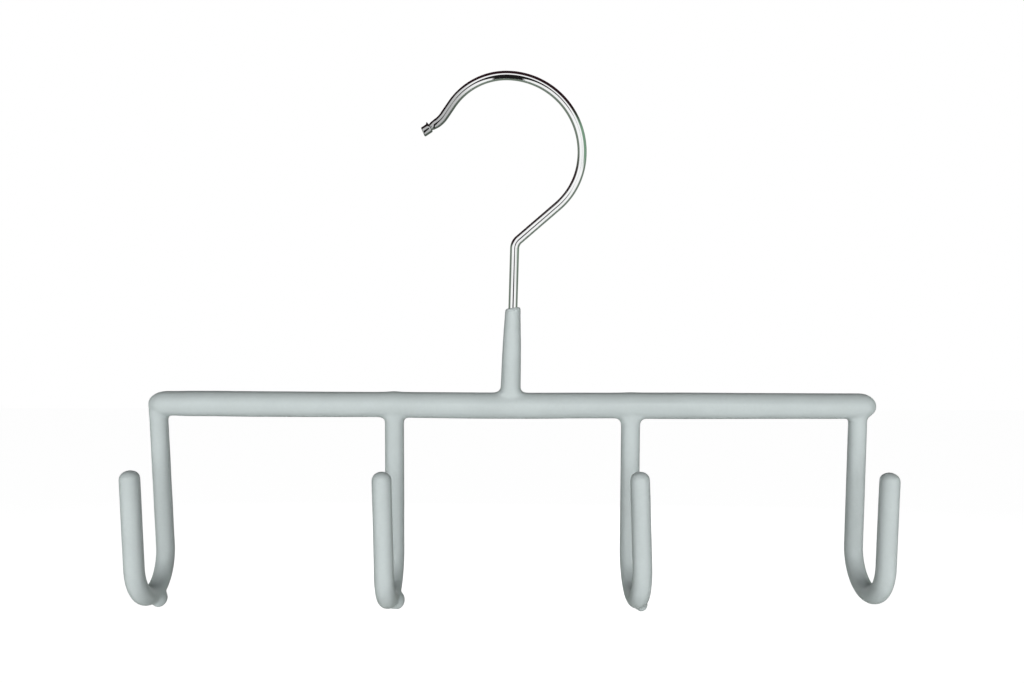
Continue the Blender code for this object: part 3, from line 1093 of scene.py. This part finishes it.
def draw_rod_hook(settings):
    """The plated wire from its foot in the neck to the knob at its free end."""
    heading = leaned(Vector(), NECK_LEAN, 0.0, 1.0)
    foot = leaned(NECK_SEAT, NECK_LEAN, 0.0, ROD_HOOK_FOOT)
    pen = TubePen("rod_hook_wire", foot, heading, settings.wire_diameter / 2, settings.side_count)
    pen.cap()
    for move in ROD_HOOK_MOVES:
        if len(move) == 1:
            pen.run(*move)
        else:
            pen.bend(*move, BACK, WIRE_BEND_STEP)
    draw_knob(pen, settings)
    return pen.done()


class HANGER_OT_coating(bpy.types.Operator):
    """Model the dipped coating over the crossbar, the neck and the belt hooks"""

    bl_idname = "hanger.coating"
    bl_label = "Dip the coating"

    def execute(self, context):
        settings = context.scene.hanger_coating
        parts = [draw_bar(settings), draw_neck()]
        for fit in HOOK_FITS:
            parts.append(draw_belt_hook(settings, fit))
            parts.extend([draw_drip(settings, fit, bead) for bead in fit.drips])
        skin = join("coating_skin", parts)
        apply_modifier(skin, "REMESH", mode="VOXEL", voxel_size=settings.skin_grid)
        apply_modifier(skin, "SMOOTH", factor=0.5, iterations=SKIN_SMOOTHINGS)
        smooth_roots(skin, settings)
        select_only(skin)
        bpy.ops.object.shade_smooth()
        dress(skin, coating_material(settings))
        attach(skin, BODY)
        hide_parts(*COATED_NODES)
        return {"FINISHED"}


class HANGER_OT_rod_hook(bpy.types.Operator):
    """Model the plated wire hook with its formed knob"""

    bl_idname = "hanger.rod_hook"
    bl_label = "Bend the rod hook"

    def execute(self, context):
        settings = context.scene.hanger_rod_hook
        hook = draw_rod_hook(settings)
        select_only(hook)
        bpy.ops.object.shade_smooth_by_angle(angle=math.radians(50.0))
        dress(hook, chrome_material(settings))
        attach(hook, BODY)
        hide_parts("rod_hook")
        return {"FINISHED"}


class HANGER_OT_steel(bpy.types.Operator):
    """Finish the drawn rod and wires inside the coating"""

    bl_idname = "hanger.steel"
    bl_label = "Finish the steel"

    def execute(self, context):
        colour = context.scene.hanger_steel.steel_colour
        along_bar = steel_material("drawn_rod", colour, (0.03, 1.0, 1.0))
        along_wire = steel_material("drawn_wire", colour, (1.0, 0.4, 0.05))
        for name in ROD_NODES:
            dress(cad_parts[name], along_bar if name == "crossbar_rod" else along_wire)
        return {"FINISHED"}


class HANGER_OT_welds(bpy.types.Operator):
    """Finish the weld beads between the rod and the wires"""

    bl_idname = "hanger.welds"
    bl_label = "Finish the welds"

    def execute(self, context):
        bead = weld_material(context.scene.hanger_steel.weld_colour)
        for name in WELD_NODES:
            dress(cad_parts[name], bead)
        return {"FINISHED"}


def place_camera(lens):
    """The camera at the photograph's viewing angle."""
    bpy.ops.object.select_all(action="DESELECT")
    bpy.ops.object.camera_add()
    camera = bpy.context.object
    camera.data.lens = lens
    camera.data.sensor_width = SENSOR_WIDTH
    camera.data.sensor_fit = "HORIZONTAL"
    camera.data.clip_start = 0.01
    camera.data.clip_end = 20.0
    ahead = Vector(
        (
            math.sin(CAMERA_YAW) * math.cos(CAMERA_PITCH),
            math.cos(CAMERA_YAW) * math.cos(CAMERA_PITCH),
            -math.sin(CAMERA_PITCH),
        )
    )
    level = Vector((math.cos(CAMERA_YAW), -math.sin(CAMERA_YAW), 0.0))
    down = ahead.cross(level)
    across = level * math.cos(CAMERA_ROLL) + down * math.sin(CAMERA_ROLL)
    upward = level * math.sin(CAMERA_ROLL) - down * math.cos(CAMERA_ROLL)
    turn = Matrix((across, upward, -ahead)).transposed()
    camera.matrix_world = Matrix.Translation(CAMERA_PLACE) @ turn.to_4x4()
    bpy.context.scene.camera = camera


def place_lamp(lamp, power):
    """Add a soft lamp that faces the hanger. Bright metal mirrors the studio's reflection instead."""
    bpy.ops.object.select_all(action="DESELECT")
    bpy.ops.object.light_add(type="AREA", location=lamp.place)
    light = bpy.context.object
    light.name = lamp.name
    light.rotation_euler = (HANGER_MIDDLE - Vector(lamp.place)).to_track_quat("-Z", "Y").to_euler()
    light.data.shape = "RECTANGLE"
    light.data.size, light.data.size_y = lamp.size
    light.data.energy = power
    light.visible_glossy = False


def white_rays(board):
    """1 for camera, glossy and transmission rays, and the glossy rays alone."""
    camera_ray = board.node("ShaderNodeLightPath", {}, {}, "Is Camera Ray")
    glossy_ray = board.node("ShaderNodeLightPath", {}, {}, "Is Glossy Ray")
    clear_ray = board.node("ShaderNodeLightPath", {}, {}, "Is Transmission Ray")
    seen = board.maths("MAXIMUM", board.maths("MAXIMUM", camera_ray, glossy_ray), clear_ray)
    return seen, glossy_ray


def studio_reflection(board, x, y, z):
    """What bright metal mirrors: white in front, dark above, and dim walls and a card elsewhere."""
    level = board.maths("MAXIMUM", board.maths("SQRT", x * x + y * y, 0.0), 0.001)
    ahead = board.maths("MAXIMUM", 0.0 - y, 0.001)
    sideways = board.maths("ABSOLUTE", x / board.maths("MAXIMUM", ahead, 0.9), 0.0)
    rightwards = board.maths("MAXIMUM", x / level, 0.0)
    leftwards = board.maths("MAXIMUM", 0.0 - x / level, 0.0)
    rise = z / level
    camera = board.ramp(sideways + board.maths("MAXIMUM", rise * 1.4, 0.0), *CAMERA_EDGE)
    front = board.mix_colour(camera, WHITE, CAMERA_SHADE)
    upper_left = leftwards * board.ramp(rise, *UPPER_LEFT_RISE)
    side = board.ramp(0.0 - y / level - upper_left * 0.3, *SIDE_AHEAD)
    side_colour = board.mix_colour(board.ramp(rise, *SIDE_DARK_RISE), SIDE_SHADE, CEILING_SHADE)
    card_height = board.ramp(board.maths("ABSOLUTE", rise, 0.0), *CARD_RISE)
    card = board.ramp(y / level, *CARD_BACK) * card_height
    behind = board.mix_colour(card, side_colour, CARD_SHADE)
    round_about = board.mix_colour(side, front, behind)
    ceiling = board.ramp(rise + rightwards * 0.5 - leftwards * 0.3, *CEILING_RISE)
    around = board.mix_colour(ceiling, round_about, CEILING_SHADE)
    wall_height = board.ramp(rise, *WALL_LOW_RISE) * board.ramp(rise, *WALL_HIGH_RISE)
    wall = board.ramp(rightwards, *WALL_RIGHT) * wall_height
    return board.mix_colour(wall, around, GREEN_SHADE)


def floor_material(settings):
    """Pale floor that shows white to the camera, keeps the shadow and mirrors like the studio."""
    material = bpy.data.materials.new("studio_floor")
    material.use_nodes = True
    board = NodeBoard(material.node_tree)
    material.node_tree.nodes.remove(material.node_tree.nodes["Principled BSDF"])
    output = material.node_tree.nodes["Material Output"]
    seen, glossy_ray = white_rays(board)
    place = board.object_place()
    colour = board.mix_colour(glossy_ray, WHITE, studio_reflection(board, *board.split(place)))
    lit = board.node("ShaderNodeBsdfDiffuse", {}, {"Color": (*settings.floor_colour, 1.0)})
    veil_colour = board.mix_colour(glossy_ray, shade(settings.floor_colour, FLOOR_VEIL), BLACK)
    veil = board.node("ShaderNodeBsdfDiffuse", {}, {"Color": veil_colour})
    glow = board.node("ShaderNodeEmission", {}, {"Color": colour, "Strength": FLOOR_GLOW})
    shown = board.node("ShaderNodeAddShader", {}, {0: veil, 1: glow})
    mixed = board.node("ShaderNodeMixShader", {}, {0: seen, 1: lit, 2: shown})
    board.feed(output.inputs["Surface"], mixed)
    return material


def light_world(settings):
    """White background, with the studio's dark sides for reflections and a low light from all round."""
    world = bpy.data.worlds.new("studio_world")
    world.use_nodes = True
    bpy.context.scene.world = world
    board = NodeBoard(world.node_tree)
    world.node_tree.nodes.remove(world.node_tree.nodes["Background"])
    output = world.node_tree.nodes["World Output"]
    heading = board.node("ShaderNodeTexCoord", {}, {}, "Generated")
    x, y, z = board.split(board.scaled(heading, (HEADING_LENGTH,) * 3))
    seen, glossy_ray = white_rays(board)
    shown = board.mix_colour(glossy_ray, WHITE, studio_reflection(board, x, y, z))
    share_of_y, share_of_z = BACK_LIGHT_SHARES
    from_behind = board.ramp(y * share_of_y + z * share_of_z, *BACK_LIGHT_EDGE)
    soft = shade((settings.ambient,) * 3, 1.0)
    glow = board.mix_colour(from_behind, soft, shade((settings.back_light,) * 3, 1.0))
    colour = board.mix_colour(seen, glow, shown)
    backdrop = board.node("ShaderNodeBackground", {}, {"Color": colour, "Strength": 1.0})
    board.feed(output.inputs["Surface"], backdrop)


class HANGER_OT_studio(bpy.types.Operator):
    """Set up the pale floor, the soft lamps, the backdrop and the camera"""

    bl_idname = "hanger.studio"
    bl_label = "Set up the studio"

    def execute(self, context):
        settings = context.scene.hanger_studio
        bpy.ops.object.select_all(action="DESELECT")
        bpy.ops.mesh.primitive_plane_add(size=FLOOR_SIZE, location=(0.0, 0.0, settings.floor_height))
        floor = context.object
        floor.name = "studio_floor"
        keep_place_in_mesh(floor)
        dress(floor, floor_material(settings))
        for lamp in LAMPS:
            place_lamp(lamp, getattr(settings, lamp.power))
        light_world(settings)
        place_camera(settings.lens)
        context.scene.view_settings.view_transform = "Standard"
        return {"FINISHED"}


class HANGER_PT_tools(bpy.types.Panel):
    """Belt hanger tools"""

    bl_label = "Belt hanger"
    bl_idname = "HANGER_PT_tools"
    bl_space_type = "VIEW_3D"
    bl_region_type = "UI"
    bl_category = "Hanger"

    def draw(self, context):
        for title, name, operators in PANEL_ROWS:
            box = self.layout.box()
            box.label(text=title)
            settings = getattr(context.scene, name)
            for field in settings.bl_rna.properties:
                if field.identifier not in ("rna_type", "name"):
                    box.prop(settings, field.identifier)
            for operator in operators:
                box.operator(operator)


PANEL_ROWS = (
    ("Coating", "hanger_coating", ("hanger.coating",)),
    ("Rod hook", "hanger_rod_hook", ("hanger.rod_hook",)),
    ("Steel frame", "hanger_steel", ("hanger.steel", "hanger.welds")),
    ("Studio", "hanger_studio", ("hanger.studio",)),
)
SETTINGS = {
    "hanger_coating": CoatingSettings,
    "hanger_rod_hook": RodHookSettings,
    "hanger_steel": SteelSettings,
    "hanger_studio": StudioSettings,
}
OPERATORS = (HANGER_OT_coating, HANGER_OT_rod_hook, HANGER_OT_steel, HANGER_OT_welds, HANGER_OT_studio)


def register():
    """Register the settings, the operators and the panel."""
    for name, group in SETTINGS.items():
        bpy.utils.register_class(group)
        setattr(bpy.types.Scene, name, PointerProperty(type=group))
    for operator in OPERATORS:
        bpy.utils.register_class(operator)
    bpy.utils.register_class(HANGER_PT_tools)


def unregister():
    """Take away what register added."""
    bpy.utils.unregister_class(HANGER_PT_tools)
    for operator in reversed(OPERATORS):
        bpy.utils.unregister_class(operator)
    for name, group in SETTINGS.items():
        delattr(bpy.types.Scene, name)
        bpy.utils.unregister_class(group)


def main():
    """Build the hanger round its frame."""
    register()
    bpy.ops.hanger.coating()
    bpy.ops.hanger.rod_hook()
    bpy.ops.hanger.steel()
    bpy.ops.hanger.welds()
    bpy.ops.hanger.studio()


if __name__ == "__main__":
    main()
